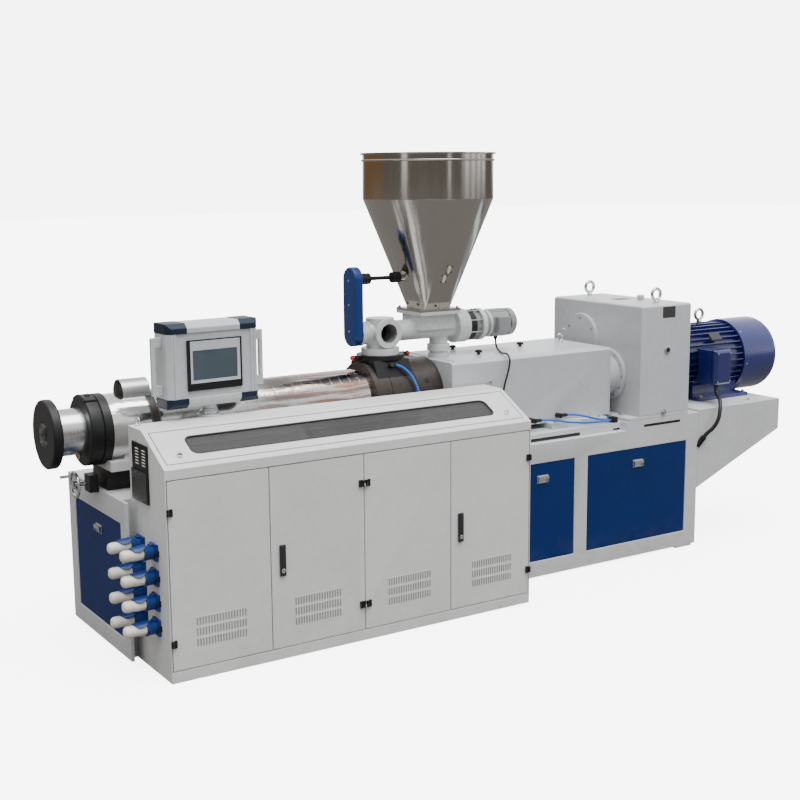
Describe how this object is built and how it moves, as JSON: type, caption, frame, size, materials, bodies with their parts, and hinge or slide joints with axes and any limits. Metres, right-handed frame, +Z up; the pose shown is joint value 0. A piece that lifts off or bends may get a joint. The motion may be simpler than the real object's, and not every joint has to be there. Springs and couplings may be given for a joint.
{
  "type": "plastic extruder",
  "caption": "Conical twin-screw plastic extruder: a welded base frame carries the barrel, feeder, hopper, thrust housing, gearbox and motor, with a doored control cabinet and a swivel screen.",
  "frame": {"origin": "On the floor, at mount floor_rest: the underside of the middle sole plate, below the barrel's axis, halfway along the base frame", "axes": "+X runs from the die end to the motor, -Y is the operator's side with the cabinet, +Z up"},
  "size_m": [4.498, 1.089, 2.228],
  "materials": {
    "frame_paint": "pale grey textured paint",
    "cabinet_paint": "pale grey powder coat",
    "blue_panel": "deep blue powder coat",
    "bright_trim": "satin metal",
    "console_grey": "mid grey paint",
    "lock_grey": "dark grey swing handle",
    "window_glass": "clear acrylic with a dark edge",
    "black_plastic": "black plastic",
    "blue_plastic": "bright blue plastic",
    "cream_plastic": "cream plastic",
    "screen_grey": "pale grey paint",
    "screen_black": "black bezel",
    "black_steel": "black oxide and paint",
    "bright_steel": "turned steel",
    "bright_sheet": "bright creased sheet",
    "heater_brown": "dark brown heater casing",
    "chrome_steel": "polished steel",
    "red_plastic": "red ball knob",
    "feeder_casting": "pale grey painted casting",
    "gearmotor_grey": "grey paint",
    "hopper_steel": "stainless sheet",
    "housing_grey": "pale grey gloss paint",
    "motor_blue": "blue paint",
    "hose_blue": "blue polyurethane tube",
    "cable_black": "black sheathed cable"
  },
  "bodies": {
    "machine": {"sole_plates": "frame_paint", "base_frame": "frame_paint", "infill_panels": "blue_panel", "panel_pulls": "bright_trim", "cabinet_sides": "cabinet_paint", "cabinet_base": "cabinet_paint", "cabinet_back": "cabinet_paint", "cabinet_frame": "cabinet_paint", "console_plate": "console_grey", "instrument_plate": "black_plastic", "sockets": "blue_plastic", "plugs": "cream_plastic", "screen_post": "screen_grey", "die_flange": "black_steel", "die_neck": "bright_steel", "clamp_collar": "black_steel", "barrel": "heater_brown", "barrel_shroud": "bright_sheet", "feed_drum": "heater_brown", "cable_bridge": "bright_sheet", "slide_blocks": "black_steel", "barrel_saddle": "frame_paint", "throat_saddle": "black_steel", "clamp_knobs": "red_plastic", "feeder_elbow": "feeder_casting", "feeder_housing": "feeder_casting", "feeder_lantern": "black_steel", "feeder_gearmotor": "gearmotor_grey", "chain_guard": "blue_panel", "hopper_drum": "hopper_steel", "hopper_cone": "hopper_steel", "mounting_plinths": "frame_paint", "thrust_housing": "housing_grey", "oil_caps": "black_plastic", "coupling_tube": "housing_grey", "gearbox": "housing_grey", "lifting_eyes": "black_steel", "motor_bracket": "frame_paint", "motor_frame": "motor_blue", "motor_cowl": "motor_blue", "terminal_box": "motor_blue", "hose_front": "hose_blue", "hose_rear": "hose_blue", "motor_cable": "cable_black", "feeder_cable": "cable_black", "throat_hose": "hose_blue", "hose_fittings": "black_plastic"},
    "door_1_leaf": {"door_1": "cabinet_paint"},
    "door_2_leaf": {"door_2": "cabinet_paint", "door_2_lock": "lock_grey"},
    "door_3_leaf": {"door_3": "cabinet_paint"},
    "door_4_leaf": {"door_4": "cabinet_paint", "door_4_lock": "lock_grey"},
    "cabinet_lid": {"lid_frame": "cabinet_paint", "lid_window": "window_glass"},
    "screen": {"screen_case": "screen_grey", "screen_bezel": "screen_black", "screen_handles": "screen_grey"},
    "wheel": {"hand_wheel": "chrome_steel"},
    "agitator_shaft": {"agitator": "chrome_steel"}
  },
  "joints": [
    {"name": "door_1_hinge", "type": "hinge", "parent": "machine", "child": "door_1_leaf", "pos_m": [-1.6415, -0.677, 0.47], "axis": [0, 0, -1], "range_deg": [0, 110]},
    {"name": "door_2_hinge", "type": "hinge", "parent": "machine", "child": "door_2_leaf", "pos_m": [-0.6985, -0.677, 0.47], "axis": [0, 0, 1], "range_deg": [0, 90]},
    {"name": "door_3_hinge", "type": "hinge", "parent": "machine", "child": "door_3_leaf", "pos_m": [-0.6805, -0.677, 0.47], "axis": [0, 0, -1], "range_deg": [0, 90]},
    {"name": "door_4_hinge", "type": "hinge", "parent": "machine", "child": "door_4_leaf", "pos_m": [0.2625, -0.677, 0.47], "axis": [0, 0, 1], "range_deg": [0, 110]},
    {"name": "lid_hinge", "type": "hinge", "parent": "machine", "child": "cabinet_lid", "pos_m": [-0.6895, -0.45188, 1.04465], "axis": [-1, 0, 0], "range_deg": [0, 65]},
    {"name": "screen_swivel", "type": "hinge", "parent": "machine", "child": "screen", "pos_m": [-1.253, -0.262, 1.0913], "axis": [0, 0, 1], "range_deg": [-15, 15]},
    {"name": "wheel_turn", "type": "hinge", "parent": "machine", "child": "wheel", "pos_m": [-1.803, 0, 0.757], "axis": [1, 0, 0], "continuous": true},
    {"name": "agitator_turn", "type": "hinge", "parent": "machine", "child": "agitator_shaft", "pos_m": [-0.2, 0, 1.606], "axis": [1, 0, 0], "continuous": true}
  ]
}
